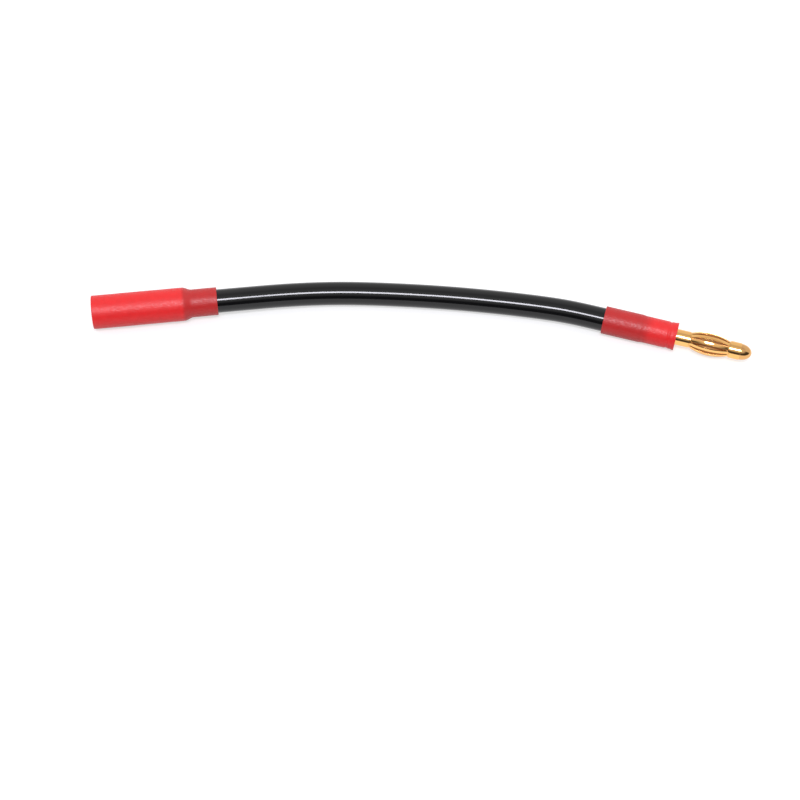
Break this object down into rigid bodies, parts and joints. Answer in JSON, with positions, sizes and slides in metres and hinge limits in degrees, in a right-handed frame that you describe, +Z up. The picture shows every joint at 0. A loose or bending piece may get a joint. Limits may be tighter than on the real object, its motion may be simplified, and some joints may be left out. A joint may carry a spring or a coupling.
{
  "type": "round crimp connector extension lead",
  "caption": "Short flexible extension lead with a sleeved round socket at one end and a gold lantern-spring round plug at the other, bowed as it lies.",
  "frame": {"origin": "centre of the two connectors' box, on the surface that the lead lies on", "axes": "+X from the socket end to the plug end, +Y towards the outside of the wire's bow, +Z up"},
  "size_m": [0.1305, 0.0151, 0.0066],
  "materials": {
    "red_sleeve": "satin shrunk polyolefin",
    "black_insulation": "glossy",
    "copper_strand": "bare stranded copper",
    "gold_plate": "gold-plated, polished"
  },
  "bodies": {
    "root": {"socket_body": "gold_plate", "socket_sleeve": "red_sleeve", "wire_insulation": "black_insulation", "wire_conductor": "copper_strand", "plug_sleeve": "red_sleeve", "plug_pin": "gold_plate", "plug_spring": "gold_plate"}
  },
  "joints": []
}
